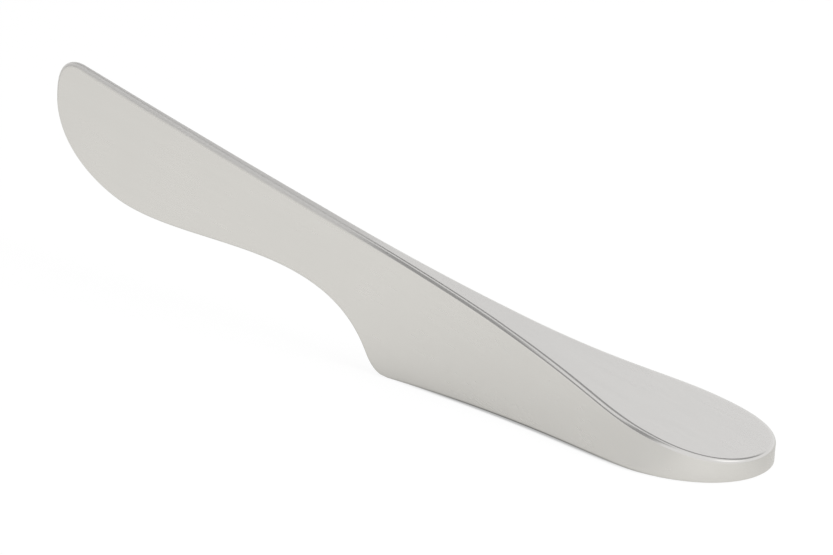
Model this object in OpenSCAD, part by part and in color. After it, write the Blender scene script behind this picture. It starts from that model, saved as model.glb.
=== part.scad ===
// Butter knife that stands on its own foot: an upright blade forged in one with its neck and
// tang, and a hollow wedge-shaped handle that turns from tall and narrow at the heel to low and
// wide at the butt. X runs from the tip to the butt, Z is up from the table, Y is across.

/* [Overall] */
// Length from the tip to the heel
blade_l = 82; // [76:1:86]
// Length from the heel to the butt
handle_l = 93; // [86:1:100]
// Thickness of the blade at the heel, where its sides begin to swell
blade_t = 2.9; // [2.6:0.1:3.4]
// Thickness of the blade at the tip
tip_t = 1.7; // [1.5:0.1:2.2]

/* [Spine] */
// Height of the spine line above the table, at the tip
tip_h = 51.6; // [47:0.1:56]
// Depth to which the spine dips below a straight line, between the tip and the lift
spine_dip = 0.5; // [0:0.05:0.7]
// Height of the top face above the table, at the butt
butt_h = 4.1; // [3.8:0.1:5]
// Height by which the top face has left the straight spine line at the butt
butt_lift = 2.85; // [1.5:0.05:3.5]
// Length before the butt over which the top face leaves the spine line
lift_l = 61; // [50:1:68]

/* [Blade outline] */
// Depth of the foremost point below the spine line
nose_drop = 10.3; // [9:0.1:13]
// Length of the round corner between the nose and the spine
corner_l = 7.5; // [6:0.1:9]
// Distance of the belly from the tip
belly_in = 20; // [17:1:24]
// Depth of the belly below the spine line
belly_drop = 24; // [20:0.1:26]
// Height of the heel's front above the table, where its round begins
heel_h = 4.1; // [3:0.1:6]
// Length of the round that runs from the heel into the foot
heel_round_l = 5.6; // [4:0.1:7]

/* [Handle outline] */
// Distance ahead of the heel at which the sides begin to swell
swell_lead = 11.5; // [9:0.5:15]
// Width of the top face at its widest
top_w = 25.5; // [21:0.1:27]
// Distance from the butt to the widest place of the top face
top_widest_in = 15.2; // [12:0.1:18]
// How far the foot stands out beyond the top face, on each side
foot_flare = 0.85; // [0.4:0.05:1.5]
// Distance from the butt to the widest place of the foot
foot_widest_in = 18.7; // [15:0.1:21]

/* [Edges] */
// Radius of the edges of the spine and of the top face
top_r = 0.9; // [0.7:0.05:1.1]
// Radius of the edges of the nose, the belly and the heel
edge_r = 0.7; // [0.5:0.05:0.7]
// Radius of the edge round the foot
foot_r = 0.7; // [0.6:0.05:1]

/* [Neck and tang] */
// Length of the solid neck behind the heel
neck_l = 30; // [28:0.5:34]
// Length of the collar that seats in the mouth of the handle
collar_l = 2; // [1.5:0.25:3]
// Clearance of every seat that is closed by weld or bedding
seat_gap = 0.05; // [0.03:0.01:0.08]
// Distance from the butt to the end of the tang
tang_end_in = 27; // [25:1:34]
// Thickness of the tang
tang_t = 2.2; // [1.8:0.1:2.6]
// Height of the tang's lower edge above the foot plate
tang_rise = 2.2; // [1.8:0.1:2.5]
// Depth of the tang's upper edge below the top face
tang_drop = 4.5; // [4:0.1:5]
// Radius of the notches that key the tang in its bedding
notch_r = 0.9; // [0.6:0.1:1.2]

/* [Handle shell] */
// Wall of the handle shell at the top face
wall_t = 1; // [0.8:0.05:1.2]
// Width of the flat rim between the rounded foot edge and the foot plate
rim_t = 0.6; // [0.4:0.05:0.8]
// Width of the ledge on which the foot plate seats
ledge_t = 0.5; // [0.4:0.05:0.8]
// Thickness of the plate that closes the foot
plate_t = 1.2; // [1:0.1:1.5]

/* [Hidden] */

// How far a cutting shape runs past what it cuts
overrun = 1;

// Steps round each edge, and along each stretch of the form
edge_steps = 4;
nose_steps = 22;
blade_steps = 16;
heel_steps = 16;
swell_steps = 30;
butt_steps = 16;

// Pull of the curves, as shares of the stretch that each curve spans
corner_pull_share = 0.626;
nose_up_share = 0.66;
nose_down_share = 0.555;
belly_front_share = 0.395;
belly_fall_share = 0.242;
choil_front_share = 0.322;
choil_back_share = 0.358;
heel_pull_share = 0.617;
heel_run_share = 0.497;
top_swell_share = 0.765;
top_wide_share = 0.211;
top_butt_share = 0.72;
top_round_share = 0.505;
foot_swell_share = 0.572;
foot_wide_share = 0.117;
foot_butt_share = 0.62;
foot_round_share = 0.575;
// Share of the swell that is laid out in fine steps, for the heel
fine_share = 0.11;
// Slant of the heel's front, from level
heel_slant = 62.7;
// Most of the blade's half thickness that the round of the spine may take
round_limit_share = 0.9;

// Places along the knife, from the tip
knife_l = blade_l + handle_l;
heel_x = blade_l;
swell_x = heel_x - swell_lead;
joint_x = heel_x + neck_l;
lift_x = knife_l - lift_l;
foot_x = heel_x + heel_round_l;
foot_w = top_w + 2 * foot_flare;

// The spine falls in a line with a slight dip, and the top face then eases away from it
spine_fall = (tip_h - butt_h + butt_lift) / knife_l;
function line_z(x) = tip_h - spine_fall * x - spine_dip * sin(180 * min(1, x / lift_x));
function top_z(x) = line_z(x) + butt_lift * pow(max(0, x - lift_x) / lift_l, 2);

// A curve with two pulled handles, its place at share t and the place at which it crosses x
function curve(p, t) = pow(1 - t, 3) * p[0] + 3 * pow(1 - t, 2) * t * p[1]
    + 3 * (1 - t) * t * t * p[2] + pow(t, 3) * p[3];
function share_at(p, x, low = 0, high = 1, turns = 26) = let (mid = (low + high) / 2)
    turns == 0 ? mid
    : curve(p, mid)[0] < x ? share_at(p, x, mid, high, turns - 1)
    : share_at(p, x, low, mid, turns - 1);
function curve_z(p, x) = curve(p, share_at(p, x))[1];

// The blade's outline seen from the side, in four curves from the spine round to the foot
nose_z = tip_h - nose_drop;
belly_z = line_z(belly_in) - belly_drop;
heel_dir = [cos(heel_slant), -sin(heel_slant)];
corner_curve = [
    [0, nose_z],
    [0, nose_z + nose_up_share * nose_drop],
    [corner_l - corner_pull_share * corner_l, line_z(corner_l - corner_pull_share * corner_l)],
    [corner_l, line_z(corner_l)]
];
belly_curve = [
    [0, nose_z],
    [0, nose_z - nose_down_share * (nose_z - belly_z)],
    [belly_in, belly_z] - belly_front_share * belly_in * [1, -belly_fall_share],
    [belly_in, belly_z]
];
choil_curve = [
    [belly_in, belly_z],
    [belly_in, belly_z] + choil_front_share * (heel_x - belly_in) * [1, -belly_fall_share],
    [heel_x, heel_h] - choil_back_share * (heel_x - belly_in) * heel_dir,
    [heel_x, heel_h]
];
heel_curve = [
    [heel_x, heel_h],
    [heel_x, heel_h] + heel_pull_share * heel_h * heel_dir,
    [foot_x - heel_run_share * heel_round_l, 0],
    [foot_x, 0]
];
function upper_z(x) = x < corner_l ? curve_z(corner_curve, x) : top_z(x);
function lower_z(x) = x < belly_in ? curve_z(belly_curve, x)
    : x < heel_x ? curve_z(choil_curve, x)
    : x < foot_x ? curve_z(heel_curve, x) : 0;

// Half outlines seen from above, of the top face and of the foot: the swell, then the butt
function swell_curve(w, wide_in, swell_share, wide_share) = let (span = knife_l - wide_in - swell_x) [
    [swell_x, blade_t / 2],
    [swell_x + swell_share * span, blade_t / 2],
    [swell_x + span - wide_share * span, w / 2],
    [swell_x + span, w / 2]
];
function butt_curve(w, wide_in, butt_share, round_share) = [
    [knife_l - wide_in, w / 2],
    [knife_l - wide_in + butt_share * wide_in, w / 2],
    [knife_l, round_share * w / 2],
    [knife_l, 0]
];
top_swell = swell_curve(top_w, top_widest_in, top_swell_share, top_wide_share);
top_butt = butt_curve(top_w, top_widest_in, top_butt_share, top_round_share);
foot_swell = swell_curve(foot_w, foot_widest_in, foot_swell_share, foot_wide_share);
foot_butt = butt_curve(foot_w, foot_widest_in, foot_butt_share, foot_round_share);

// The blade grows evenly thicker from the tip to where its sides begin to swell
function blade_half(x) = (tip_t + (blade_t - tip_t) * x / swell_x) / 2;
// Stations along the blade, each as [x, half width], alike for the upper and the lower corner
blade_places = concat(
    [for (i = [0 : nose_steps]) belly_in * pow(i / nose_steps, 2)],
    [for (i = [1 : blade_steps - 1]) belly_in + (swell_x - belly_in) * i / blade_steps]
);
blade_line = [for (x = blade_places) [x, blade_half(x)]];
// Shares at which the swell and the butt are laid out
swell_at = concat(
    [for (i = [0 : heel_steps]) fine_share * i / heel_steps],
    [for (i = [1 : swell_steps]) fine_share + (1 - fine_share) * i / swell_steps]
);
butt_at = [for (i = [1 : butt_steps]) i / butt_steps];
function handle_line(swell, butt) = concat(
    [for (t = swell_at) curve(swell, t)], [for (t = butt_at) curve(butt, t)]
);
top_line = handle_line(top_swell, top_butt);
foot_line = handle_line(foot_swell, foot_butt);

function unit(v) = v / norm(v);
function step_at(p, i) = p[min(i + 1, len(p) - 1)] - p[max(i - 1, 0)];
// Outward direction of a half outline seen from above, on the side where y is negative
function side_dirs(p) = [for (i = [0 : len(p) - 1])
    i == len(p) - 1 ? [1, 0, 0] : let (s = unit(step_at(p, i))) [-s[1], -s[0], 0]];
// Outward direction of a chain of places seen from the side, up or down by its sign
function face_dirs(p, up) = [for (i = [0 : len(p) - 1])
    let (s = unit(step_at(p, i))) [-up * s[1], 0, up * s[0]]];

// One edge round: from the face that it starts on to the face that it ends on
function edge_round(c, r, side, face) = [for (k = [0 : edge_steps])
    let (a = 90 - 90 * k / edge_steps) c - r * (1 - cos(a)) * side - r * (1 - sin(a)) * face];
function flip(p) = [for (i = [len(p) - 1 : -1 : 0]) p[i]];
function across(p) = [for (q = p) [q[0], -q[1], q[2]]];

// Half a section at each station: round the upper edge, down the side, round the lower edge
function half_section(uc, lc, us, ls, uf, lf, ur, lr) = concat(
    edge_round(uc, ur, us, uf), flip(edge_round(lc, lr, ls, lf))
);
function full_section(h) = concat(h, across(flip(h)));

// The whole outer form, with the nose and the butt drawn together to single rows
upper_xy = concat(blade_line, top_line);
lower_xy = concat(blade_line, foot_line);
last = len(upper_xy) - 1;
upper_xz = [for (p = upper_xy) [p[0], upper_z(p[0])]];
lower_xz = [for (p = lower_xy) [p[0], lower_z(p[0])]];
upper_side = side_dirs(upper_xy);
lower_side = side_dirs(lower_xy);
upper_face = face_dirs(upper_xz, 1);
lower_face = face_dirs(lower_xz, -1);
nose_dir = [-1, 0, 0];
// The round of the lower edge passes from the blade's to the foot's along the neck
function lower_r(i) = let (along = max(0, min(1, (lower_xy[i][0] - heel_x) / neck_l)))
    edge_r + (foot_r - edge_r) * along;
// The round of the upper edge is full, and smaller only where the blade is too thin for it
function upper_r(i) = i < len(blade_line) ? min(top_r, round_limit_share * upper_xy[i][1]) : top_r;
function outer_half(i) = half_section(
    [upper_xy[i][0], -upper_xy[i][1], upper_xz[i][1]],
    [lower_xy[i][0], -lower_xy[i][1], lower_xz[i][1]],
    i < len(blade_line) ? [0, -1, 0] : upper_side[i],
    i < len(blade_line) ? [0, -1, 0] : lower_side[i],
    i == 0 ? nose_dir : upper_face[i],
    i == 0 ? nose_dir : lower_face[i],
    upper_r(i), lower_r(i)
);
edge_n = edge_steps + 1;
half_n = 2 * edge_n;
ring_n = 2 * half_n;
nose_half = outer_half(0);
nose_row = concat([for (k = [0 : edge_steps]) nose_half[k]],
    across(flip([for (k = [0 : edge_steps]) nose_half[k]])));
outer_points = concat(
    nose_row,
    [for (i = [1 : last - 1]) each full_section(outer_half(i))],
    outer_half(last)
);
// Place in the list of the point at station i and column j
function nose_place(j) = j < edge_n ? j : j < half_n ? half_n - 1 - j
    : j < half_n + edge_n ? ring_n - 1 - j : j - half_n;
function outer_place(i, j) = i == 0 ? nose_place(j)
    : i == last ? half_n + (last - 1) * ring_n + min(j, ring_n - 1 - j)
    : half_n + (i - 1) * ring_n + j;
function split(a, b, c, d) = [
    if (a != b && b != c && a != c) [a, b, c],
    if (a != c && c != d && a != d) [a, c, d]
];
outer_faces = [for (i = [0 : last - 1]) for (j = [0 : ring_n - 1]) let (k = (j + 1) % ring_n)
    each split(outer_place(i, j), outer_place(i + 1, j), outer_place(i + 1, k), outer_place(i, k))];

module outer_form() {
    polyhedron(outer_points, outer_faces, convexity = 6);
}

// The handle is hollow from the joint to near the butt. The hollow leaves the wall at the top and
// the ledge at the foot, and below it lies the straight recess that takes the foot plate.
hollow_from = [for (i = [0 : len(top_line) - 1]) if (top_line[i][0] < joint_x - overrun) i];
hollow_first = hollow_from[len(hollow_from) - 1];
hollow_n = len(top_line) - hollow_first;
top_side = side_dirs(top_line);
foot_side = side_dirs(foot_line);
recess_in = foot_r + rim_t;
ledge_in = recess_in + ledge_t;
// A place on a half outline, drawn in by an inset and set at a height
function drawn_in(p, side, inset, z) = [p[0] - inset * side[0], -p[1] - inset * side[1], z];
function hollow_top(i, gap) = drawn_in(
    top_line[i], top_side[i], wall_t + gap, top_z(top_line[i][0]) - wall_t - gap
);
function hollow_foot(i, gap) = drawn_in(foot_line[i], foot_side[i], ledge_in + gap, plate_t / 2);
function hollow_points(gap) = [for (n = [0 : hollow_n - 1]) let (i = hollow_first + n)
    let (a = hollow_top(i, gap), b = hollow_foot(i, gap))
    each n == hollow_n - 1 ? [a, b] : [a, b, [b[0], -b[1], b[2]], [a[0], -a[1], a[2]]]];
corner_n = 4;
function hollow_place(n, j) = n * corner_n + (n == hollow_n - 1 ? min(j, corner_n - 1 - j) : j);
hollow_faces = concat(
    [[for (j = [0 : corner_n - 1]) j]],
    [for (n = [0 : hollow_n - 2]) for (j = [0 : corner_n - 1]) let (k = (j + 1) % corner_n)
        each split(hollow_place(n, j), hollow_place(n + 1, j), hollow_place(n + 1, k), hollow_place(n, k))]
);

module hollow(gap) {
    polyhedron(hollow_points(gap), hollow_faces, convexity = 4);
}

// A straight-sided slice of the foot, drawn in by an inset, between two heights
module foot_slice(inset, z0, z1) {
    near_side = [for (n = [0 : hollow_n - 1]) let (i = hollow_first + n)
        drawn_in(foot_line[i], foot_side[i], inset, 0)];
    far_side = [for (n = [hollow_n - 2 : -1 : 0]) let (q = near_side[n]) [q[0], -q[1]]];
    translate([0, 0, z0])
        linear_extrude(z1 - z0)
        polygon(concat([for (q = near_side) [q[0], q[1]]], far_side));
}

// A block that spans the knife between two places along it and two heights
module block(x0, x1, z0, z1) {
    translate([x0, -foot_w, z0])
        cube([x1 - x0, 2 * foot_w, z1 - z0]);
}

tang_end_x = knife_l - tang_end_in;
tang_z = plate_t + tang_rise;
notch_n = 2;
notch_pitch = (tang_end_x - joint_x) / (notch_n + 1);

module tang() {
    difference() {
        translate([0, tang_t / 2, 0])
            rotate([90, 0, 0])
            linear_extrude(tang_t)
            polygon([
                [joint_x - overrun, tang_z],
                [tang_end_x, tang_z],
                [tang_end_x, top_z(tang_end_x) - tang_drop],
                [joint_x, top_z(joint_x) - tang_drop],
                [joint_x - overrun, top_z(joint_x) - tang_drop]
            ]);
        for (n = [1 : notch_n])
            translate([joint_x + n * notch_pitch, tang_t, tang_z])
                rotate([90, 0, 0])
                cylinder(h = 2 * tang_t, r = notch_r, $fn = 32);
    }
}

module blade() {
    color("silver") {
        intersection() {
            outer_form();
            block(-overrun, joint_x, -overrun, tip_h + overrun);
        }
        // Collar that centres the neck in the mouth of the handle
        intersection() {
            hollow(seat_gap);
            block(joint_x - overrun / 2, joint_x + collar_l, plate_t + seat_gap, tip_h);
        }
        tang();
    }
}

module handle_shell() {
    color("gainsboro")
    difference() {
        intersection() {
            outer_form();
            block(joint_x, knife_l + overrun, -overrun, tip_h);
        }
        hollow(0);
        foot_slice(recess_in, -overrun, plate_t);
    }
}

module foot_plate() {
    color("lightgray")
    intersection() {
        foot_slice(recess_in + seat_gap, 0, plate_t);
        block(joint_x, knife_l, -overrun, plate_t + overrun);
    }
}

module tang_bedding() {
    color("dimgray")
    difference() {
        intersection() {
            hollow(seat_gap);
            block(joint_x + collar_l, knife_l, plate_t, tip_h);
        }
        tang();
    }
}

// The knife is drawn about the middle of its length
module placed() {
    translate([-knife_l / 2, 0, 0])
        children();
}

placed() blade();
placed() handle_shell();
placed() foot_plate();
placed() tang_bedding();
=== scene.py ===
"""A butter knife that stands on its own foot, dressed for its studio picture.

The knife is one upright blade, forged with its neck and tang, and a hollow wedge-shaped handle
that turns from tall and narrow at the heel to low and wide at the butt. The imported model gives
the frame. Every visible piece is modelled again on that frame with finer rounds and a satin
steel finish. Lengths are in millimetres until a piece is placed, and X runs from the tip.
"""

import logging
import math
from contextlib import contextmanager
from dataclasses import dataclass
from enum import Enum
from typing import Callable, Iterator, Sequence

import bmesh
import bpy
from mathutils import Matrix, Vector


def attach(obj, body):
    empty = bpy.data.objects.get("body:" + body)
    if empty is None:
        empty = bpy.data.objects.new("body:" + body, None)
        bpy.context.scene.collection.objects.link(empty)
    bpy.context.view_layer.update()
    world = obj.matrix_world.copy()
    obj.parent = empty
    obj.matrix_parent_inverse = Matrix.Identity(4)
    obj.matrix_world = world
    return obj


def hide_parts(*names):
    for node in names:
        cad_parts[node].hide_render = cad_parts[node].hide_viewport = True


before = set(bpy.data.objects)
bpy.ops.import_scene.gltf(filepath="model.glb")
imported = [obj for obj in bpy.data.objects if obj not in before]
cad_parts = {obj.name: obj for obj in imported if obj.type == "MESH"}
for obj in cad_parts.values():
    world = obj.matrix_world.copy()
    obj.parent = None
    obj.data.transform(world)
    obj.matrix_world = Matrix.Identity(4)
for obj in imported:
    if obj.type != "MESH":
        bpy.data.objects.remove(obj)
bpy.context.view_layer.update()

BODY = "root"
MM = 0.001
PICTURE_WIDTH = 833
SPINE_FALL = math.atan(0.27)
HALVINGS = 40
TINY = 1e-6
MERGE_DISTANCE = 1e-7
STEEPEST_LEAN = 0.9
SAME_PLACE = 1e-4
NOISE_RANGE = (0.3, 0.7)
LOG = logging.getLogger("butter_knife")

Ring = list[Vector]
Colour = tuple[float, float, float]
Piece = bpy.types.Object
Material = bpy.types.Material
Node = bpy.types.Node
Socket = bpy.types.NodeSocket


class Axis(Enum):
    """A direction of the knife's own frame."""

    ALONG = (1.0, 0.0, 0.0)
    NEAR = (0.0, -1.0, 0.0)
    UP = (0.0, 0.0, 1.0)

    @property
    def way(self) -> Vector:
        """The direction as a vector."""
        return Vector(self.value)


# ---- curves and form


@dataclass(frozen=True)
class PulledCurve:
    """A flat cubic curve between two ends, with a pulled handle at each end.

    The first number of each point is the place along the knife, and the second is a height or
    a half width.
    """

    start: tuple[float, float]
    start_pull: tuple[float, float]
    end_pull: tuple[float, float]
    end: tuple[float, float]

    def at(self, share: float) -> Vector:
        """Place on the curve.

        Args:
            share: How far along the curve, from 0 to 1.

        Returns:
            The place, as two numbers.
        """
        rest = 1 - share
        return (
            rest**3 * Vector(self.start)
            + 3 * rest**2 * share * Vector(self.start_pull)
            + 3 * rest * share**2 * Vector(self.end_pull)
            + share**3 * Vector(self.end)
        )

    def height_at(self, along: float) -> float:
        """Second number of the curve where its first number is ``along``.

        Args:
            along: Place along the knife, between the curve's ends.

        Returns:
            The height there.
        """
        low, high = 0.0, 1.0
        for _ in range(HALVINGS):
            middle = (low + high) / 2
            if self.at(middle).x < along:
                low = middle
            else:
                high = middle
        return self.at(low).y


def between(low: float, high: float, steps: int) -> list[float]:
    """``steps + 1`` even values from ``low`` to ``high``, both included."""
    return [low + (high - low) * i / steps for i in range(steps + 1)]


def share_past(place: float, start: float, span: float) -> float:
    """Share of a span that a place has passed, from 0 at its start to 1 at its end."""
    return max(0.0, min(1.0, (place - start) / span))


def mirrored(near: Sequence[Vector]) -> Ring:
    """Points of the near side seen again on the far side, in the opposite order."""
    return [Vector((p.x, -p.y, p.z)) for p in reversed(near)]


@dataclass(frozen=True)
class Outline:
    """One outline of the handle seen from above: its width and how its curves are pulled."""

    width: float
    widest_in: float
    swell_pull: float
    wide_pull: float
    butt_pull: float
    round_pull: float

    def curves(
        self, start: float, half_start: float, length: float
    ) -> tuple[PulledCurve, PulledCurve]:
        """The swell of a side up to its widest place, and its round to the middle of the butt.

        Args:
            start: Place at which the side begins to swell.
            half_start: Half thickness there.
            length: Length of the knife.

        Returns:
            The two curves.
        """
        wide = length - self.widest_in
        span = wide - start
        half = self.width / 2
        swell = PulledCurve(
            (start, half_start),
            (start + self.swell_pull * span, half_start),
            (wide - self.wide_pull * span, half),
            (wide, half),
        )
        butt = PulledCurve(
            (wide, half),
            (wide + self.butt_pull * self.widest_in, half),
            (length, self.round_pull * half),
            (length, 0.0),
        )
        return swell, butt


@dataclass(frozen=True)
class Corner:
    """Where a face and the near side would meet if their edge were sharp, at one station."""

    place: Vector
    face: Vector
    side: Vector
    run: Vector
    radius: float

    @property
    def ball(self) -> Vector:
        """Centre of the ball that touches the face and the side."""
        outward = self.face + self.side
        return self.place - self.radius * outward / (1 + self.face.dot(self.side))

    def wall_way(self, across: Vector, lean: float) -> Vector:
        """Outward direction in which the wall between two corners leaves this one's ball.

        Args:
            across: Direction from the lower ball's centre to the upper one's.
            lean: Share of the distance between the centres by which the lower ball is larger.

        Returns:
            The direction, square to the run of the ball.
        """
        level = (across - across.dot(self.run) * self.run).normalized()
        out = self.run.cross(level)
        if out.dot(self.side) < 0:
            out = -out
        rise = lean / max(TINY, level.dot(across))
        rise = max(-STEEPEST_LEAN, min(STEEPEST_LEAN, rise))
        return (rise * level + math.sqrt(1 - rise * rise) * out).normalized()


@dataclass(frozen=True)
class SectionRows:
    """How many points a section has on its rounds, and where its rows lie on the flats."""

    round_steps: int = 10
    flat_shares: tuple[float, ...] = (0.3, 0.6, 0.82, 0.95)
    wall_shares: tuple[float, ...] = (0.015, 0.09, 0.22, 0.36, 0.5, 0.64, 0.78, 0.91, 0.985)


def arc(centre: Vector, radius: float, first: Vector, last: Vector, steps: int) -> Ring:
    """Points of a round from one outward direction to another.

    Args:
        centre: Centre of the round.
        radius: Radius of the round.
        first: Outward direction at the first point.
        last: Outward direction at the last point.
        steps: Number of steps.

    Returns:
        ``steps + 1`` points.
    """
    turn = first.angle(last, 0.0)
    if turn < TINY:
        return [centre + radius * first for _ in range(steps + 1)]
    points = []
    for share in between(0.0, 1.0, steps):
        way = math.sin((1 - share) * turn) * first + math.sin(share * turn) * last
        points.append(centre + radius * (way / math.sin(turn)))
    return points


def section(upper: Corner, lower: Corner, rows: SectionRows) -> Ring:
    """The closed section at a station, from the middle of the top round the near side.

    Args:
        upper: The upper corner.
        lower: The lower corner.
        rows: The rows of points that the section has.

    Returns:
        The points in order, the far side mirrored from the near side.
    """
    top_ball, low_ball = upper.ball, lower.ball
    reach = top_ball - low_ball
    top_way, low_way = upper.side, lower.side
    if reach.length >= SAME_PLACE:
        lean = (lower.radius - upper.radius) / reach.length
        across = reach.normalized()
        top_way, low_way = upper.wall_way(across, lean), lower.wall_way(across, lean)
    top_arc = arc(top_ball, upper.radius, upper.face, top_way, rows.round_steps)
    low_arc = arc(low_ball, lower.radius, low_way, lower.face, rows.round_steps)
    for point in low_arc:
        point.z = max(0.0, point.z)
    middle_top = Vector((top_arc[0].x, 0.0, top_arc[0].z))
    middle_low = Vector((low_arc[-1].x, 0.0, low_arc[-1].z))
    near = [middle_top.lerp(top_arc[0], share) for share in rows.flat_shares]
    near += top_arc
    near += [top_arc[-1].lerp(low_arc[0], share) for share in rows.wall_shares]
    near += low_arc
    near += [low_arc[-1].lerp(middle_low, 1 - share) for share in reversed(rows.flat_shares)]
    return [middle_top, *near, middle_low, *mirrored(near)]


@dataclass(frozen=True)
class EdgeFinish:
    """How much rougher than the faces the edges are: soft on the blade, polished on the handle."""

    spine: float = 0.23
    belly: float = 0.05
    handle: float = -0.05
    change_start: float = 70.0
    change_length: float = 22.0

    def along(self, place: float) -> float:
        """Share of the handle's finish at a place: 0 on the blade, 1 on the handle."""
        share = share_past(place, self.change_start, self.change_length)
        return share * share * (3 - 2 * share)

    def columns(self, rows: SectionRows) -> list[tuple[float, float]]:
        """Added roughness of each point of a section, on the blade and on the handle.

        Args:
            rows: The rows of points that the section has.

        Returns:
            Two values for each point of the section, in the section's order.
        """
        steps = rows.round_steps + 1
        crown = [(self.spine, 0.0)] * len(rows.flat_shares)
        crown += [(self.spine, self.handle)] * steps
        wall = [(0.0, 0.0)] * len(rows.wall_shares)
        keel = [(self.belly, self.handle)] * steps
        keel += [(self.belly, 0.0)] * len(rows.flat_shares)
        half = crown + wall + keel
        return [(self.spine, 0.0), *half, (self.belly, 0.0), *reversed(half)]


@dataclass(frozen=True)
class KnifeForm:
    """The knife's sizes, in millimetres, and the outer form that they give."""

    blade_length: float = 82.0
    handle_length: float = 93.0
    heel_thickness: float = 2.9
    tip_thickness: float = 1.7
    tip_height: float = 51.6
    spine_dip: float = 0.5
    butt_height: float = 4.1
    butt_lift: float = 2.85
    lift_length: float = 61.0
    nose_drop: float = 10.3
    corner_length: float = 7.5
    belly_in: float = 20.0
    belly_drop: float = 24.0
    heel_height: float = 4.1
    heel_round_length: float = 5.6
    swell_lead: float = 11.5
    top_width: float = 25.5
    foot_flare: float = 0.85
    top_round: float = 0.9
    edge_round: float = 0.7
    foot_round: float = 0.7
    neck_length: float = 30.0
    corner_pull: float = 0.626
    nose_up: float = 0.66
    nose_down: float = 0.555
    belly_front: float = 0.395
    belly_fall: float = 0.242
    choil_front: float = 0.322
    choil_back: float = 0.358
    heel_pull: float = 0.617
    heel_run: float = 0.497
    heel_slant: float = 62.7
    heel_share: float = 0.11
    round_limit: float = 0.9

    @property
    def length(self) -> float:
        """Length from the tip to the butt."""
        return self.blade_length + self.handle_length

    @property
    def foot_start(self) -> float:
        """Place at which the foot begins to touch the table."""
        return self.blade_length + self.heel_round_length

    @property
    def swell_start(self) -> float:
        """Place at which the sides begin to swell."""
        return self.blade_length - self.swell_lead

    @property
    def joint(self) -> float:
        """Place of the joint between the neck and the handle shell."""
        return self.blade_length + self.neck_length

    @property
    def top_outline(self) -> Outline:
        """Outline of the top face."""
        return Outline(
            width=self.top_width,
            widest_in=15.2,
            swell_pull=0.765,
            wide_pull=0.211,
            butt_pull=0.72,
            round_pull=0.505,
        )

    @property
    def foot_outline(self) -> Outline:
        """Outline of the foot."""
        return Outline(
            width=self.top_width + 2 * self.foot_flare,
            widest_in=18.7,
            swell_pull=0.572,
            wide_pull=0.117,
            butt_pull=0.62,
            round_pull=0.575,
        )

    def metres(self, along: float) -> float:
        """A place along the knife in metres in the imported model's frame, which is centred."""
        return (along - self.length / 2) * MM

    def placed(self, point: Vector) -> Vector:
        """A point of the knife's own frame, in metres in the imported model's frame."""
        return Vector((point.x - self.length / 2, point.y, point.z)) * MM

    def spine_height(self, along: float) -> float:
        """Height of the spine line.

        Args:
            along: Place along the knife.

        Returns:
            The height above the table.
        """
        fall = (self.tip_height - self.butt_height + self.butt_lift) / self.length
        lift_start = self.length - self.lift_length
        dip = self.spine_dip * math.sin(math.pi * min(1.0, along / lift_start))
        return self.tip_height - fall * along - dip

    def top_height(self, along: float) -> float:
        """Height of the spine and of the top face, which eases away from the spine line."""
        past = max(0.0, along - (self.length - self.lift_length)) / self.lift_length
        return self.spine_height(along) + self.butt_lift * past**2

    @property
    def nose_height(self) -> float:
        """Height of the foremost point."""
        return self.tip_height - self.nose_drop

    @property
    def belly_height(self) -> float:
        """Height of the belly at its own place."""
        return self.spine_height(self.belly_in) - self.belly_drop

    @property
    def corner_curve(self) -> PulledCurve:
        """Round corner from the nose up to the spine."""
        reach = self.corner_length * (1 - self.corner_pull)
        return PulledCurve(
            (0.0, self.nose_height),
            (0.0, self.nose_height + self.nose_up * self.nose_drop),
            (reach, self.spine_height(reach)),
            (self.corner_length, self.spine_height(self.corner_length)),
        )

    @property
    def belly_curve(self) -> PulledCurve:
        """Round from the nose down to the belly."""
        drop = self.nose_height - self.belly_height
        back = self.belly_front * self.belly_in
        return PulledCurve(
            (0.0, self.nose_height),
            (0.0, self.nose_height - self.nose_down * drop),
            (self.belly_in - back, self.belly_height + back * self.belly_fall),
            (self.belly_in, self.belly_height),
        )

    @property
    def choil_curve(self) -> PulledCurve:
        """Hollow sweep from the belly down to the heel."""
        heel = self.blade_length
        span = heel - self.belly_in
        slant = math.radians(self.heel_slant)
        front, back = self.choil_front * span, self.choil_back * span
        return PulledCurve(
            (self.belly_in, self.belly_height),
            (self.belly_in + front, self.belly_height - front * self.belly_fall),
            (heel - back * math.cos(slant), self.heel_height + back * math.sin(slant)),
            (heel, self.heel_height),
        )

    @property
    def heel_curve(self) -> PulledCurve:
        """Round from the heel's front into the foot."""
        slant = math.radians(self.heel_slant)
        heel, pull = self.blade_length, self.heel_pull * self.heel_height
        return PulledCurve(
            (heel, self.heel_height),
            (heel + pull * math.cos(slant), self.heel_height - pull * math.sin(slant)),
            (self.foot_start - self.heel_run * self.heel_round_length, 0.0),
            (self.foot_start, 0.0),
        )

    def upper_height(self, along: float) -> float:
        """Height of the upper outline seen from the side."""
        is_corner = along < self.corner_length
        return self.corner_curve.height_at(along) if is_corner else self.top_height(along)

    def lower_height(self, along: float) -> float:
        """Height of the lower outline seen from the side.

        Args:
            along: Place along the knife.

        Returns:
            The height above the table.
        """
        if along < self.belly_in:
            return self.belly_curve.height_at(along)
        if along < self.blade_length:
            return self.choil_curve.height_at(along)
        if along < self.foot_start:
            return self.heel_curve.height_at(along)
        return 0.0

    def blade_half(self, along: float) -> float:
        """Half thickness of the blade, which grows evenly from the tip to the swell."""
        share = along / self.swell_start
        return (self.tip_thickness + (self.heel_thickness - self.tip_thickness) * share) / 2

    def upper_round(self, along: float) -> float:
        """Radius of the upper edge, smaller only where the blade is too thin for it."""
        return min(self.top_round, self.round_limit * self.blade_half(along))

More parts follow.
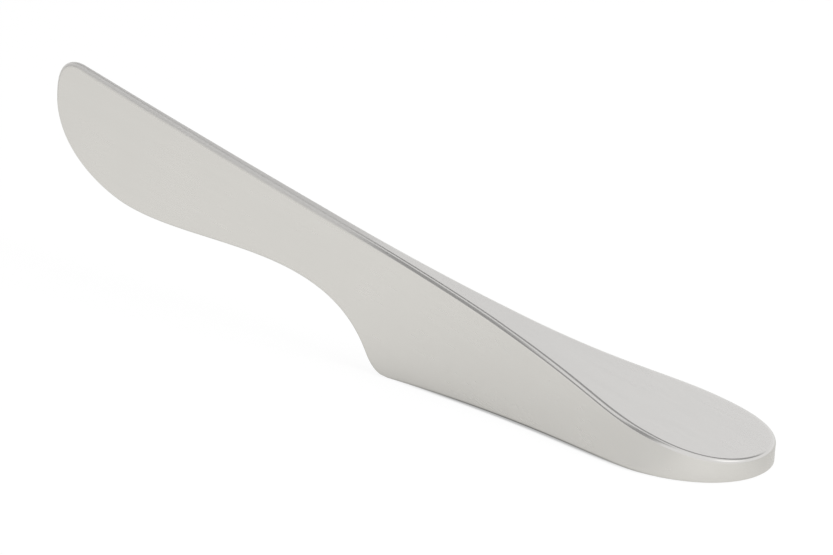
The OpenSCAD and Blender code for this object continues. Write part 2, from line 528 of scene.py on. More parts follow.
    def lower_round(self, along: float) -> float:
        """Radius of the lower edge, which passes from the blade's to the foot's on the neck."""
        share = share_past(along, self.blade_length, self.neck_length)
        return self.edge_round + (self.foot_round - self.edge_round) * share


@dataclass(frozen=True)
class StationPlan:
    """How finely the form is laid out along the knife."""

    nose_steps: int = 40
    blade_steps: int = 32
    heel_steps: int = 30
    swell_steps: int = 64
    butt_steps: int = 36

    def blade_line(self, form: KnifeForm) -> list[Vector]:
        """Places and half widths along the blade.

        Args:
            form: The knife's form.

        Returns:
            Two numbers for each station.
        """
        nose = [form.belly_in * share**2 for share in between(0.0, 1.0, self.nose_steps)]
        blade = between(form.belly_in, form.swell_start, self.blade_steps)[1:-1]
        return [Vector((along, form.blade_half(along))) for along in nose + blade]

    def handle_line(self, form: KnifeForm, outline: Outline) -> list[Vector]:
        """Places and half widths along the swell and round the butt.

        Args:
            form: The knife's form.
            outline: The top's or the foot's outline.

        Returns:
            Two numbers for each station, at equal shares for both outlines.
        """
        swell, butt = outline.curves(form.swell_start, form.heel_thickness / 2, form.length)
        shares = between(0.0, form.heel_share, self.heel_steps)
        shares += between(form.heel_share, 1.0, self.swell_steps)[1:]
        line = [swell.at(share) for share in shares]
        return line + [butt.at(share) for share in between(0.0, 1.0, self.butt_steps)[1:]]


def slopes(line: Sequence[Vector]) -> list[Vector]:
    """Direction of a line at each of its points, from its neighbours.

    Args:
        line: The points.

    Returns:
        One direction of length 1 for each point.
    """
    last = len(line) - 1
    pairs = ((line[max(i - 1, 0)], line[min(i + 1, last)]) for i in range(last + 1))
    return [(ahead - behind).normalized() for behind, ahead in pairs]


class Edge(Enum):
    """The knife's two outlines seen from the side, with the way in which their faces look."""

    UPPER = 1
    LOWER = -1


def corners(form: KnifeForm, plan: StationPlan, edge: Edge) -> list[Corner]:
    """The corners of one outline, from the nose to the butt.

    Args:
        form: The knife's form.
        plan: How finely to lay it out.
        edge: The upper or the lower outline.

    Returns:
        One corner for each station, in order.
    """
    if edge is Edge.UPPER:
        outline, height, radius = form.top_outline, form.upper_height, form.upper_round
    else:
        outline, height, radius = form.foot_outline, form.lower_height, form.lower_round
    blade = plan.blade_line(form)
    line = blade + plan.handle_line(form, outline)
    chain = [Vector((p.x, height(p.x))) for p in line]
    made = []
    for i, (p, q, way, rise) in enumerate(zip(line, chain, slopes(line), slopes(chain))):
        if i < len(blade):
            side = Axis.NEAR.way
            run = Vector((rise.x, 0.0, rise.y)) if i else Axis.UP.way
        elif i == len(line) - 1:
            side, run = Axis.ALONG.way, -Axis.NEAR.way
        else:
            side = Vector((-way.y, -way.x, 0.0))
            climb = rise.y / max(TINY, rise.x) * way.x
            run = Vector((way.x, -way.y, climb)).normalized()
        face = edge.value * Vector((-rise.y, 0.0, rise.x)) if i else -Axis.ALONG.way
        made.append(Corner(Vector((p.x, -p.y, q.y)), face, side, run, radius(p.x)))
    return made


# ---- mesh work


def clear_selection() -> None:
    """Leaves edit mode and deselects everything."""
    if bpy.context.object and bpy.context.object.mode != "OBJECT":
        bpy.ops.object.mode_set(mode="OBJECT")
    bpy.ops.object.select_all(action="DESELECT")


def added(operator: Callable[..., object], name: str, **values: object) -> Piece:
    """What one of Blender's add operators makes.

    Args:
        operator: The operator.
        name: Name of the new object.
        values: What the operator is told.

    Returns:
        The new object.
    """
    clear_selection()
    operator(**values)
    made = bpy.context.object
    made.name = name
    return made


def take(piece: Piece) -> None:
    """Makes a piece the only selected one, and the active one.

    Args:
        piece: The piece.
    """
    clear_selection()
    piece.select_set(True)
    bpy.context.view_layer.objects.active = piece


def loft(
    name: str,
    rings: Sequence[Ring],
    form: KnifeForm,
    marks: Callable[[int, Vector], float] | None = None,
) -> Piece:
    """A closed skin through rings: a circle is drawn to the first ring and extruded on.

    Args:
        name: Name of the new piece.
        rings: Rings of equal count, in order along the knife, in millimetres.
        form: The knife's form.
        marks: Gives the ``edge_softness`` of a ring point from its column and place.

    Returns:
        The new piece, with its place in its mesh.
    """
    circle = bpy.ops.mesh.primitive_circle_add
    skin = added(circle, name, vertices=len(rings[0]), radius=MM, enter_editmode=True)
    skin.data.name = name
    mesh = bmesh.from_edit_mesh(skin.data)
    column = mesh.verts.layers.int.new("column")
    for i, vertex in enumerate(mesh.verts):
        vertex[column] = i
        vertex.co = form.placed(rings[0][i])
    bmesh.update_edit_mesh(skin.data)
    for ring in rings[1:]:
        bpy.ops.mesh.extrude_region_move()
        mesh = bmesh.from_edit_mesh(skin.data)
        column = mesh.verts.layers.int["column"]
        for vertex in mesh.verts:
            if vertex.select:
                vertex.co = form.placed(ring[vertex[column]])
        bmesh.update_edit_mesh(skin.data)
    if marks is not None:
        mesh = bmesh.from_edit_mesh(skin.data)
        softness = mesh.verts.layers.float.new("edge_softness")
        column = mesh.verts.layers.int["column"]
        for vertex in mesh.verts:
            vertex[softness] = marks(vertex[column], vertex.co)
        bmesh.update_edit_mesh(skin.data)
    bpy.ops.mesh.select_all(action="SELECT")
    bpy.ops.mesh.remove_doubles(threshold=MERGE_DISTANCE)
    bpy.ops.mesh.normals_make_consistent(inside=False)
    bpy.ops.object.mode_set(mode="OBJECT")
    return skin


@contextmanager
def whole_mesh(piece: Piece) -> Iterator[None]:
    """Edit mode with all of a piece selected, which ends with its faces turned outward.

    Args:
        piece: The piece.
    """
    take(piece)
    bpy.ops.object.mode_set(mode="EDIT")
    bpy.ops.mesh.select_all(action="SELECT")
    yield
    bpy.ops.mesh.select_all(action="SELECT")
    bpy.ops.mesh.normals_make_consistent(inside=False)
    bpy.ops.object.mode_set(mode="OBJECT")


def cut_across(piece: Piece, place: float, keep_ahead: bool) -> None:
    """Cuts a piece square across at a place along the knife and closes the cut.

    Args:
        piece: The piece.
        place: Place of the cut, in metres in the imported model's frame.
        keep_ahead: True to keep what lies ahead of the cut, towards the tip.
    """
    with whole_mesh(piece):
        bpy.ops.mesh.bisect(
            plane_co=(place, 0.0, 0.0),
            plane_no=Axis.ALONG.value,
            use_fill=True,
            clear_outer=keep_ahead,
            clear_inner=not keep_ahead,
            threshold=MERGE_DISTANCE,
        )


def block(name: str, rings: Sequence[Ring], form: KnifeForm) -> Piece:
    """A closed solid through rings, with its two ends filled.

    Args:
        name: Name of the solid.
        rings: Rings of equal count, in order, in millimetres.
        form: The knife's form.

    Returns:
        The solid.
    """
    made = loft(name, rings, form)
    with whole_mesh(made):
        bpy.ops.mesh.fill_holes(sides=0)
    return made


class Join(Enum):
    """How a second solid changes the first."""

    CUT = "DIFFERENCE"
    ADD = "UNION"


def combine(piece: Piece, other: Piece, how: Join) -> None:
    """Cuts a solid from a piece or joins it on, and removes the second solid.

    Args:
        piece: The piece that is kept.
        other: The solid that is used up.
        how: Whether it is cut away or joined on.
    """
    take(piece)
    step = piece.modifiers.new(how.name.lower(), "BOOLEAN")
    step.operation = how.value
    step.solver = "EXACT"
    step.object = other
    bpy.ops.object.modifier_apply(modifier=step.name)
    bpy.data.objects.remove(other)


# ---- finishes


@dataclass(frozen=True)
class Grain:
    """A noise pattern on a surface.

    ``drawn`` says how far it is drawn out along the spine, across it and upwards, ``scale`` is
    its repeats in a metre, and ``detail`` the number of its finer layers, each of which has the
    share ``falloff`` of the strength of the one before.
    """

    scale: float
    detail: float
    drawn: tuple[float, float, float] = (1.0, 1.0, 1.0)
    falloff: float = 0.6


class NodeDesk:
    """Places and links shader nodes of one material or world."""

    def __init__(self, tree: bpy.types.NodeTree) -> None:
        """Keeps the tree to work on."""
        self.tree = tree

    def feed(self, target: Socket, value: object) -> None:
        """Links an input to another node's output, or sets it to a plain value.

        Args:
            target: The input.
            value: The output or the value.
        """
        if isinstance(value, Socket):
            self.tree.links.new(value, target)
        else:
            target.default_value = value

    def add(self, kind: str, *terms: object, **values: object) -> Node:
        """A new node.

        Args:
            kind: Blender's name of the node type.
            terms: What its inputs are fed with, in their order.
            values: Its properties, or what its inputs are fed with, by their names with spaces
                as underscores.

        Returns:
            The node.
        """
        node = self.tree.nodes.new(kind)
        for target, term in zip(node.inputs, terms):
            self.feed(target, term)
        for name, value in values.items():
            if hasattr(node, name):
                setattr(node, name, value)
            else:
                self.feed(node.inputs[name.replace("_", " ")], value)
        return node

    def result(self, kind: str, *terms: object, **values: object) -> Socket:
        """First output of a new node, which takes what ``add`` takes."""
        return self.add(kind, *terms, **values).outputs[0]

    def reckon(self, operation: str, *terms: float | Socket) -> Socket:
        """Result of a Math node on numbers or sockets."""
        return self.result("ShaderNodeMath", *terms, operation=operation)

    def place(self, system: str) -> Socket:
        """Coordinates of a point of the surface in one of Blender's systems."""
        return self.add("ShaderNodeTexCoord").outputs[system]

    def grain(self, pattern: Grain) -> Socket:
        """Noise on object coordinates, drawn out along the fall of the spine.

        Args:
            pattern: How coarse it is, and how far it is drawn out.

        Returns:
            The noise's value, around one half.
        """
        turned = self.result(
            "ShaderNodeMapping",
            vector_type="TEXTURE",
            Vector=self.place("Object"),
            Rotation=(0.0, SPINE_FALL, 0.0),
            Scale=pattern.drawn,
        )
        return self.result(
            "ShaderNodeTexNoise",
            Vector=turned,
            Scale=pattern.scale,
            Detail=pattern.detail,
            Roughness=pattern.falloff,
        )

    def blend(self, first: Socket, second: Socket, share: float) -> Socket:
        """Two values mixed, with the share of the first one."""
        rest = self.reckon("MULTIPLY", second, 1 - share)
        return self.reckon("ADD", self.reckon("MULTIPLY", first, share), rest)

    def spread(
        self,
        source: Socket,
        results: tuple[float, float],
        ends: tuple[float, float] = NOISE_RANGE,
        is_eased: bool = False,
    ) -> Socket:
        """A value moved from one range to another.

        Args:
            source: The value.
            results: What comes out at the two ends.
            ends: The ends of the value's range, or else those of a noise.
            is_eased: True for a change that starts and ends softly.

        Returns:
            The output socket.
        """
        return self.result(
            "ShaderNodeMapRange",
            interpolation_type="SMOOTHSTEP" if is_eased else "LINEAR",
            Value=source,
            From_Min=ends[0],
            From_Max=ends[1],
            To_Min=results[0],
            To_Max=results[1],
        )

    def tint(
        self, source: Socket, colour: Colour, shade: float, ends: tuple[float, float]
    ) -> Socket:
        """A colour that a value makes darker and lighter.

        Args:
            source: The value.
            colour: The colour at the middle.
            shade: Share by which it grows darker and lighter.
            ends: Values at which it is darkest and lightest.

        Returns:
            The output socket.
        """
        ramp = self.add("ShaderNodeValToRGB", source)
        for element, place, sign in zip(ramp.color_ramp.elements, ends, (-1, 1)):
            element.position = place
            element.color = (*(c * (1 + sign * shade) for c in colour), 1.0)
        return ramp.outputs["Color"]


def new_material(name: str) -> tuple[Material, NodeDesk]:
    """A new node material, and the desk that works on its nodes."""
    made = bpy.data.materials.new(name)
    made.use_nodes = True
    return made, NodeDesk(made.node_tree)


@dataclass(frozen=True)
class Finish:
    """A finish whose colour, roughness and fine bump come from noise."""

    name: str
    colour: Colour
    shade: float
    rough: float
    rough_swing: float
    bump_depth: float
    bump_strength: float
    metallic: float

    def material(self) -> Material:
        """The finish as a node material.

        Returns:
            The material.
        """
        made, desk = new_material(self.name)
        shader = made.node_tree.nodes["Principled BSDF"]
        colour, rough, height = self._channels(desk)
        bump = desk.result(
            "ShaderNodeBump", Strength=self.bump_strength, Distance=self.bump_depth, Height=height
        )
        desk.feed(shader.inputs["Metallic"], self.metallic)
        desk.feed(shader.inputs["Base Color"], colour)
        desk.feed(shader.inputs["Roughness"], rough)
        desk.feed(shader.inputs["Normal"], bump)
        return made

    def _channels(self, desk: NodeDesk) -> tuple[Socket, Socket, Socket]:
        """The colour, the roughness and the height of the bump, which each finish draws."""
        raise NotImplementedError

    def _roughness(self, desk: NodeDesk, noise: Socket) -> Socket:
        """The finish's roughness, which swings with a noise."""
        low, high = self.rough - self.rough_swing, self.rough + self.rough_swing
        return desk.spread(noise, (low, high))


@dataclass(frozen=True)
class SatinSteel(Finish):
    """Stainless steel, brushed along the knife and then softened to a satin.

    ``tint_clouds`` and ``rough_clouds`` are the shares of the clouds in its colour and in its
    roughness. Its edges are softer or more polished than its faces where the mesh says so.
    """

    colour: Colour = (0.673, 0.662, 0.648)
    shade: float = 0.018
    rough: float = 0.26
    rough_swing: float = 0.03
    bump_depth: float = 0.0000007
    bump_strength: float = 1.0
    metallic: float = 1.0
    clouds: Grain = Grain(scale=45.0, detail=2.0)
    streaks: Grain = Grain(scale=2600.0, detail=3.0, drawn=(30.0, 2.5, 1.0))
    strokes: Grain = Grain(scale=700.0, detail=2.0, drawn=(33.0, 2.0, 1.0))
    tint_clouds: float = 0.65
    rough_clouds: float = 0.5
    has_soft_edges: bool = True

    def _channels(self, desk: NodeDesk) -> tuple[Socket, Socket, Socket]:
        """Colour of slow clouds and long strokes, roughness of clouds and streaks, and streaks."""
        clouds, streaks, strokes = (
            desk.grain(pattern) for pattern in (self.clouds, self.streaks, self.strokes)
        )
        drift = desk.blend(clouds, strokes, self.tint_clouds)
        rough = self._roughness(desk, desk.blend(clouds, streaks, self.rough_clouds))
        if self.has_soft_edges:
            edge = desk.add("ShaderNodeAttribute", attribute_name="edge_softness")
            rough = desk.reckon("ADD", rough, edge.outputs["Fac"])
        return desk.tint(drift, self.colour, self.shade, NOISE_RANGE), rough, streaks


@dataclass(frozen=True)
class BeddingCompound(Finish):
    """Hard grey compound that fills the handle round the tang."""

    colour: Colour = (0.10, 0.10, 0.11)
    shade: float = 0.3
    rough: float = 0.75
    rough_swing: float = 0.1
    bump_depth: float = 0.0001
    bump_strength: float = 0.6
    metallic: float = 0.0
    sand: Grain = Grain(scale=1800.0, detail=4.0)

    def _channels(self, desk: NodeDesk) -> tuple[Socket, Socket, Socket]:
        """Colour, roughness and height of one coarse sand."""
        sand = desk.grain(self.sand)
        tint = desk.tint(sand, self.colour, self.shade, (0.0, 1.0))
        return tint, self._roughness(desk, sand), sand


def dress(piece: Piece, material: Material) -> None:
    """Gives a piece one material all over."""
    piece.data.materials.clear()
    piece.data.materials.append(material)


# ---- the knife's pieces


@dataclass
class HandleHollow:
    """The hollow of the handle and the recess under it that takes the foot plate."""

    form: KnifeForm
    wall: float = 1.0
    rim: float = 0.6
    ledge: float = 0.5
    plate: float = 1.2
    overrun: float = 1.0
    plan: StationPlan = StationPlan(swell_steps=36, butt_steps=20)

    @property
    def recess_inset(self) -> float:
        """How far the recess lies in from the foot's outline."""
        return self.form.foot_round + self.rim

    def _lines(self) -> tuple[list[Vector], list[Vector]]:
        """Top and foot outlines from just ahead of the joint to the butt."""
        top = self.plan.handle_line(self.form, self.form.top_outline)
        foot = self.plan.handle_line(self.form, self.form.foot_outline)
        first = max(i for i, p in enumerate(top) if p.x < self.form.joint - self.overrun)
        return top[first:], foot[first:]

    @staticmethod
    def _inset(line: Sequence[Vector], inset: float) -> list[Vector]:
        """A half outline drawn in, with its last point on the middle line.

        Args:
            line: Places and half widths.
            inset: How far it is drawn in.

        Returns:
            The points of the near side, where Y is negative.
        """
        points = []
        for p, way in zip(line, slopes(line)):
            points.append(Vector((p.x + inset * way.y, -p.y + inset * way.x, 0.0)))
        points[-1] = Vector((line[-1].x - inset, 0.0, 0.0))
        return points

    def rings(self, gap: float) -> list[Ring]:
        """Rings of the hollow, four points each.

        Args:
            gap: Clearance by which the rings are drawn in.

        Returns:
            The rings in order.
        """
        top, foot = self._lines()
        high = self._inset(top, self.wall + gap)
        low = self._inset(foot, self.recess_inset + self.ledge + gap)
        rings = []
        for p, upper, lower in zip(top, high, low):
            roof = self.form.top_height(p.x) - self.wall - gap
            near = [Vector((upper.x, upper.y, roof)), Vector((lower.x, lower.y, self.plate / 2))]
            rings.append(near + mirrored(near))
        return rings

    def solid(self, name: str, gap: float) -> Piece:
        """The hollow as a closed solid, drawn in by a clearance."""
        return block(name, self.rings(gap), self.form)

    def slice_solid(self, name: str, inset: float, low: float, high: float) -> Piece:
        """A straight-sided slice of the foot, between two heights.

        Args:
            name: Name of the solid.
            inset: How far its outline lies in from the foot's.
            low: Lower height.
            high: Upper height.

        Returns:
            The solid.
        """
        near = self._inset(self._lines()[1], inset)
        ring = near + mirrored(near[:-1])
        rings = [[Vector((p.x, p.y, z)) for p in ring] for z in (low, high)]
        return block(name, rings, self.form)


def outer_skin(name: str, form: KnifeForm) -> Piece:
    """The knife's whole outer form as one closed skin.

    Args:
        name: Name of the skin.
        form: The knife's form.

    Returns:
        The skin.
    """
    rows, plan, edges = SectionRows(), StationPlan(), EdgeFinish()
    chains = (corners(form, plan, edge) for edge in Edge)
    rings = [section(upper, lower, rows) for upper, lower in zip(*chains)]
    columns = edges.columns(rows)

    def softness(column: int, place: Vector) -> float:
        """Roughness that one point has beyond that of the faces.

        Args:
            column: The point's number in its ring.
            place: The point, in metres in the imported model's frame.

        Returns:
            The added roughness, below zero where the edge is polished.
        """
        on_blade, on_handle = columns[column]
        share = edges.along(place.x / MM + form.length / 2)
        return on_blade * (1 - share) + on_handle * share

    return loft(name, rings, form, softness)


@dataclass
class SteelPart:
    """A visible piece of the knife, in one steel finish all over.

    Where its faces meet at less than ``smooth_below`` degrees it is shaded smooth.
    """

    form: KnifeForm
    hollow: HandleHollow
    finish: SatinSteel
    smooth_below: float = 32.0

    def build(self) -> Piece:
        """Models the piece, shades it and dresses it.

        Returns:
            The piece.
        """
        made = self._shape()
        take(made)
        bpy.ops.object.shade_smooth_by_angle(angle=math.radians(self.smooth_below))
        clear_selection()
        dress(made, self.finish.material())
        return made

    def _shape(self) -> Piece:
        """The bare piece, which each class models."""
        raise NotImplementedError


@dataclass
class BladeForging(SteelPart):
    """The blade with its neck, its collar and the tang that is keyed in the handle."""

    collar_length: float = 2.0
    seat_gap: float = 0.05
    tang_end_in: float = 27.0
    tang_thickness: float = 2.2
    tang_rise: float = 2.2
    tang_drop: float = 4.5
    notch_radius: float = 0.9
    notch_count: int = 2
    notch_steps: int = 12

    def tang(self) -> Piece:
        """The tang, cut from flat bar, with notches in its lower edge.

        Returns:
            The tang.
        """
        form = self.form
        low, radius = self.hollow.plate + self.tang_rise, self.notch_radius
        start, end = form.joint - self.hollow.overrun, form.length - self.tang_end_in
        profile = [Vector((start, 0.0, low))]
        pitch = (end - form.joint) / (self.notch_count + 1)
        for number in range(1, self.notch_count + 1):
            centre = form.joint + number * pitch
            for turn in between(180.0, 0.0, self.notch_steps):
                a = math.radians(turn)
                rise = low + radius * math.sin(a)
                profile.append(Vector((centre + radius * math.cos(a), 0.0, rise)))
        profile.append(Vector((end, 0.0, low)))
        profile.append(Vector((end, 0.0, form.top_height(end) - self.tang_drop)))
        roof = form.top_height(form.joint) - self.tang_drop
        profile.append(Vector((form.joint, 0.0, roof)))
        profile.append(Vector((start, 0.0, roof)))
        half = self.tang_thickness / 2
        rings = [[Vector((p.x, y, p.z)) for p in profile] for y in (-half, half)]
        return block("tang", rings, form)

    def _shape(self) -> Piece:
        """The forging as one piece.

        Returns:
            The piece.
        """
        form = self.form
        blade = outer_skin("blade_forging", form)
        cut_across(blade, form.metres(form.joint), True)
        collar = self.hollow.solid("collar", self.seat_gap)
        cut_across(collar, form.metres(form.joint - self.hollow.overrun / 2), False)
        cut_across(collar, form.metres(form.joint + self.collar_length), True)
        combine(collar, self.tang(), Join.ADD)
        combine(blade, collar, Join.ADD)
        return blade


@dataclass
class HandleShell(SteelPart):
    """The hollow handle that is welded to the neck and polished flush."""

    def _shape(self) -> Piece:
        """The shell as one piece.

        Returns:
            The piece.
        """
        form, hollow = self.form, self.hollow
        shell = outer_skin("handle_skin", form)
        cut_across(shell, form.metres(form.joint), False)
        combine(shell, hollow.solid("hollow", 0.0), Join.CUT)
        recess = hollow.slice_solid("recess", hollow.recess_inset, -hollow.overrun, hollow.plate)
        combine(shell, recess, Join.CUT)
        return shell


@dataclass
class FootPlate(SteelPart):
    """The plate that closes the foot, set in its recess."""

    smooth_below: float = 30.0
    seat_gap: float = 0.05
    edge_break: float = 0.12
    break_steps: int = 3
    break_above: float = 50.0

    def _shape(self) -> Piece:
        """The plate as one piece.

        Returns:
            The piece.
        """
        form, hollow = self.form, self.hollow
        plate = hollow.slice_solid(
            "foot_closing_plate", hollow.recess_inset + self.seat_gap, 0.0, hollow.plate
        )
        cut_across(plate, form.metres(form.joint), False)
        take(plate)
        step = plate.modifiers.new("edge_break", "BEVEL")
        step.width = self.edge_break * MM
        step.segments = self.break_steps
        step.limit_method = "ANGLE"
        step.angle_limit = math.radians(self.break_above)
        bpy.ops.object.modifier_apply(modifier=step.name)
        return plate


# ---- studio


def aim(bearing: float, rise: float) -> tuple[Vector, tuple[float, float, float]]:
    """A direction seen from the knife, and how a thing that stands there turns to face it.

    Args:
        bearing: Degrees from the knife's near side towards its butt.
        rise: Degrees above the table.

    Returns:
        The direction and the rotation.
    """
    turn, lift = math.radians(bearing), math.radians(rise)
    way = Vector(
        (math.sin(turn) * math.cos(lift), -math.cos(turn) * math.cos(lift), math.sin(lift))
    )
    return way, (math.pi / 2 - lift, 0.0, turn)


@dataclass(frozen=True)
class Card:
    """A large soft-edged card of the studio, seen only in the steel.

    It stands in the direction of ``bearing`` and ``rise``, and ``size`` is the width and the
    height that it takes up, all in degrees.
    """

    name: str
    bearing: float
    rise: float
    size: tuple[float, float]
    tone: float
    feather: float

    def build(self, distance: float) -> Piece:
        """Hangs the card.

        Args:
            distance: Distance from the knife, in metres.

        Returns:
            The card.
        """
        way, rotation = aim(self.bearing, self.rise)
        plane = bpy.ops.mesh.primitive_plane_add
        card = added(plane, self.name, size=1.0, location=way * distance, rotation=rotation)
        width, height = (
            2 * distance * math.tan(math.radians(angle / 2)) for angle in self.size
        )
        card.scale = (width, height, 1.0)
        card.visible_camera = card.visible_diffuse = False
        card.visible_shadow = card.visible_transmission = False
        dress(card, self._material())
        return card

    def _material(self) -> Material:
        """A glow of the card's tone that fades out to its edges."""
        made, desk = new_material(self.name)
        made.node_tree.nodes.clear()
        split = desk.add("ShaderNodeSeparateXYZ", desk.place("UV"))
        shares = []
        for axis in (split.outputs["X"], split.outputs["Y"]):
            near_edge = desk.reckon("MINIMUM", axis, desk.reckon("SUBTRACT", 1.0, axis))
            shares.append(desk.spread(near_edge, (0.0, 1.0), (0.0, self.feather), True))
        cover = desk.reckon("MULTIPLY", *shares)
        clear = desk.result("ShaderNodeBsdfTransparent")
        glow = desk.result("ShaderNodeEmission", Strength=self.tone)
        mix = desk.result("ShaderNodeMixShader", cover, clear, glow)
        desk.add("ShaderNodeOutputMaterial", mix)
        return made


@dataclass(frozen=True)
class FloorPaper:
    """White paper under the knife, which the steel mirrors darker than the camera sees it.

    The steel mirrors the floor with painted shade behind the knife and in a band along the
    handle. A painted contact shadow darkens the floor beside the foot, for both the steel and
    the camera. Places are in metres.
    """

    name: str
    colour: Colour = (0.995, 0.99, 0.958)
    # Painted shade: the mirrored floor darkens to this tone behind the knife.
    painted_far_tone: float = 0.78
    fall: tuple[float, float] = (-0.018, 0.018)
    # Painted shade: a band of the mirrored floor along the handle darkens by this share.
    painted_shade_depth: float = 0.15
    painted_shade_from: tuple[float, float] = (-0.045, 0.03)
    painted_shade_to: tuple[float, float] = (0.062, 0.087)
    glow_share: float = 0.4
    glow_level: float = 0.985
    shadow_share: float = 0.1
    light: float = 0.9
    # Painted contact shadow: ambient occlusion within this reach darkens the floor beside the
    # foot, strongest at the middle of the handle.
    contact_reach: float = 0.0011
    contact_middle: float = 0.036
    contact_half: float = 0.036
    contact_seen: float = 0.5
    contact_deepest: float = 0.5
    contact_samples: int = 8

    def material(self) -> Material:
        """The finish as a node material.

        Returns:
            The material.
        """
        made, desk = new_material(self.name)
        made.node_tree.nodes.clear()
        split = desk.add("ShaderNodeSeparateXYZ", desk.place("Object"))
        along, back = split.outputs["X"], split.outputs["Y"]
        # Painted contact shadow beside the foot, which darkens both the mirrored and the seen
        # floor.
        contact_shade = self._painted_contact_shade(desk, along)
        ray = desk.add("ShaderNodeLightPath").outputs
        is_seen = desk.reckon("MAXIMUM", ray["Is Camera Ray"], ray["Is Transmission Ray"])
        papers = self._mirrored(desk, along, back, contact_shade), self._seen(desk, contact_shade)
        choice = desk.result("ShaderNodeMixShader", is_seen, *papers)
        desk.add("ShaderNodeOutputMaterial", choice)
        return made

    def _painted_contact_shade(self, desk: NodeDesk, along: Socket) -> Socket:
        """Painted contact shadow beside the foot, from ambient occlusion, most at the middle of
        the handle.

        Args:
            desk: The floor's nodes.
            along: Place along the knife.

        Returns:
            A value that is zero away from the foot.
        """
        contact = desk.add(
            "ShaderNodeAmbientOcclusion", samples=self.contact_samples, Distance=self.contact_reach
        )
        # The painted shadow's strength falls off along the knife from the middle of the handle.
        off_middle = desk.reckon("SUBTRACT", along, self.contact_middle)
        away = desk.reckon("DIVIDE", off_middle, self.contact_half)
        near = desk.reckon("SUBTRACT", 1.0, desk.reckon("MULTIPLY", away, away))
        shade_strength = desk.reckon("MAXIMUM", 0.0, near)
        closed = desk.reckon("SUBTRACT", 1.0, contact.outputs["AO"])
        return desk.reckon("MULTIPLY", shade_strength, closed)

    def _mirrored(self, desk: NodeDesk, along: Socket, back: Socket, contact_shade: Socket) -> Socket:
        """The floor as the steel mirrors it, with painted shade and a painted contact shadow.

        Args:
            desk: The floor's nodes.
            along: Place along the knife.
            back: Place across the knife, away from the camera.
            contact_shade: The painted contact shadow beside the foot.

        Returns:
            The shader.
        """
        # Painted shade: the mirrored floor darkens behind the knife.
        tone = desk.spread(back, (1.0, self.painted_far_tone), self.fall, True)
        rise = desk.spread(along, (0.0, self.painted_shade_depth), self.painted_shade_from, True)
        end = desk.spread(along, (1.0, 0.0), self.painted_shade_to, True)
        # Painted shade: a band along the handle and the contact shadow beside the foot darken it
        # further.
        for shade in (desk.reckon("MULTIPLY", rise, end), contact_shade):
            tone = desk.reckon("MULTIPLY", tone, desk.reckon("SUBTRACT", 1.0, shade))
        colour = desk.result("ShaderNodeVectorMath", self.colour, operation="SCALE", Scale=tone)
        paper = desk.result("ShaderNodeBsdfDiffuse", colour)
        glow = desk.result("ShaderNodeEmission", colour, self.glow_level)
        return desk.result("ShaderNodeMixShader", self.glow_share, paper, glow)

    def _seen(self, desk: NodeDesk, contact_shade: Socket) -> Socket:
        """The floor as the camera sees it: white, with a faint shadow and a painted contact
        shadow.

        Args:
            desk: The floor's nodes.
            contact_shade: The painted contact shadow beside the foot.

        Returns:
            The shader.
        """
        faint = desk.result("ShaderNodeBsdfDiffuse", (self.shadow_share,) * 3 + (1.0,))
        # Painted contact shadow: the floor's glow is dimmed where the occlusion beside the foot is
        # deep.
        darkened = desk.reckon("MULTIPLY", contact_shade, contact_shade)
        ends = (0.0, self.contact_deepest**2)
        kept = desk.spread(darkened, (1.0, 1.0 - self.contact_seen), ends)
        level = desk.reckon("MULTIPLY", kept, 1.0 - self.light * self.shadow_share)
        glow = desk.result("ShaderNodeEmission", Strength=level)
        return desk.result("ShaderNodeAddShader", faint, glow)

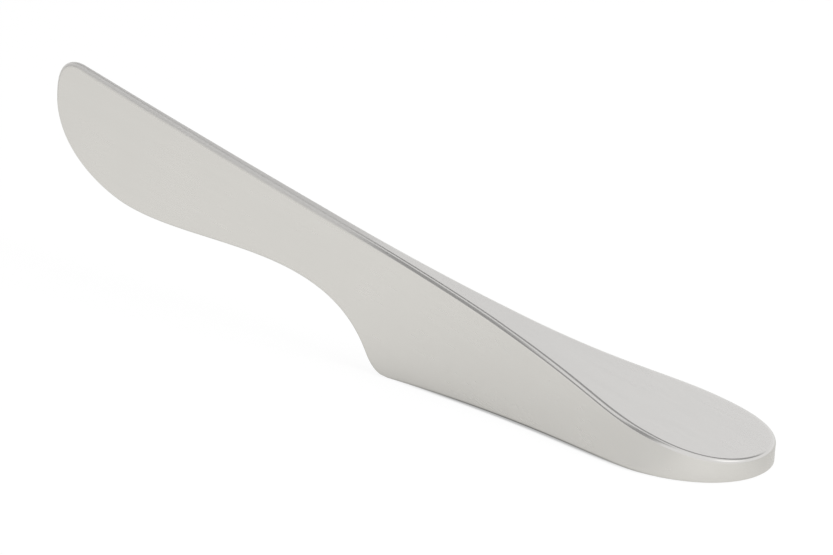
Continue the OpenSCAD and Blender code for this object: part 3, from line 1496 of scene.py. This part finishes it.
@dataclass
class Studio:
    """White floor, even white light, cards that draw the edges, and the camera.

    Places are in metres.
    """

    camera_bearing: float = 38.3031
    camera_rise: float = 18.2942
    camera_distance: float = 0.8
    camera_target: tuple[float, float, float] = (0.0062643, 0.0, 0.0215709)
    pixels_per_mm: float = 5.1624
    sensor: float = 36.0
    sky_level: float = 0.66
    key_power: float = 23.0
    key_size: float = 1.0
    key_place: tuple[float, float, float] = (1.56, -0.16, 1.23)
    floor_size: float = 6.0
    floor_drop: float = 0.00004
    card_distance: float = 3.0
    cards: tuple[Card, ...] = (
        Card("dark_room_side", bearing=-47, rise=15.5, size=(50.0, 31.0), tone=0.38, feather=0.2),
        Card("dark_stand", bearing=-33, rise=42.0, size=(24.0, 76.0), tone=0.35, feather=0.25),
        Card("dark_room_back", bearing=-156, rise=60.0, size=(90.0, 40.0), tone=0.36, feather=0.2),
        Card("side_softbox", bearing=85, rise=42.0, size=(60.0, 40.0), tone=1.5, feather=0.4),
    )

    def build(self) -> None:
        """Sets up the whole studio."""
        self._sky()
        self._key()
        self._floor()
        for card in self.cards:
            card.build(self.card_distance)
        self._camera()
        bpy.context.scene.view_settings.view_transform = "Standard"

    def _sky(self) -> None:
        """Even white light from all round."""
        world = bpy.context.scene.world or bpy.data.worlds.new("studio")
        bpy.context.scene.world = world
        world.use_nodes = True
        desk = NodeDesk(world.node_tree)
        back = world.node_tree.nodes["Background"]
        back.inputs["Color"].default_value = (1.0, 1.0, 1.0, 1.0)
        ray = desk.add("ShaderNodeLightPath").outputs
        mirrored_ray = desk.reckon("MAXIMUM", ray["Is Glossy Ray"], ray["Is Transmission Ray"])
        seen = desk.reckon("MAXIMUM", ray["Is Camera Ray"], mirrored_ray)
        level = desk.spread(seen, (self.sky_level, 1.0), (0.0, 1.0))
        desk.feed(back.inputs["Strength"], level)

    def _key(self) -> None:
        """Large soft lamp above and behind the knife."""
        lamp = added(bpy.ops.object.light_add, "key_lamp", type="AREA", location=self.key_place)
        lamp.data.shape = "DISK"
        lamp.data.size = self.key_size
        lamp.data.energy = self.key_power
        lamp.rotation_euler = Vector(self.key_place).to_track_quat("Z", "Y").to_euler()
        lamp.visible_glossy = False

    def _floor(self) -> None:
        """White floor that keeps the knife's shadow, with painted shade in what the steel mirrors
        and a painted contact shadow.
        """
        plane = bpy.ops.mesh.primitive_plane_add
        floor = added(plane, "floor", size=self.floor_size, location=(0, 0, -self.floor_drop))
        dress(floor, FloorPaper("white_floor").material())

    def _camera(self) -> None:
        """The camera at the photograph's viewing angle."""
        back, rotation = aim(self.camera_bearing, self.camera_rise)
        place = Vector(self.camera_target) + back * self.camera_distance
        camera = added(bpy.ops.object.camera_add, "camera", location=place, rotation=rotation)
        camera.data.sensor_width = self.sensor
        camera.data.lens = (
            self.pixels_per_mm * self.camera_distance / MM * self.sensor / PICTURE_WIDTH
        )
        bpy.context.scene.camera = camera


# ---- assembly


def seat(piece: Piece, node: str) -> None:
    """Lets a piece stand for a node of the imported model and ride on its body.

    Args:
        piece: The piece.
        node: Name of the node that it stands for.
    """
    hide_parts(node)
    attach(piece, BODY)
    faces = len(piece.data.polygons)
    LOG.info("%s stands for %s with %d faces", piece.name, node, faces)


def main() -> None:
    """Builds the knife piece by piece, then the studio round it."""
    logging.basicConfig(level=logging.INFO, format="%(message)s")
    form = KnifeForm()
    hollow = HandleHollow(form)
    plate_finish = SatinSteel("ground_plate_steel", rough=0.4, has_soft_edges=False)
    for kind, finish, node, slot in (
        (BladeForging, SatinSteel("satin_blade_steel"), "blade", "blade_steel"),
        (HandleShell, SatinSteel("satin_handle_steel"), "handle_shell", "handle_steel"),
        (FootPlate, plate_finish, "foot_plate", "plate_steel"),
    ):
        seat(kind(form, hollow, finish).build(), node)
    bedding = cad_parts["tang_bedding"]
    dress(bedding, BeddingCompound("bedding_compound").material())
    LOG.info("tang_bedding keeps its packed shape")
    Studio().build()


if __name__ == "__main__":
    main()
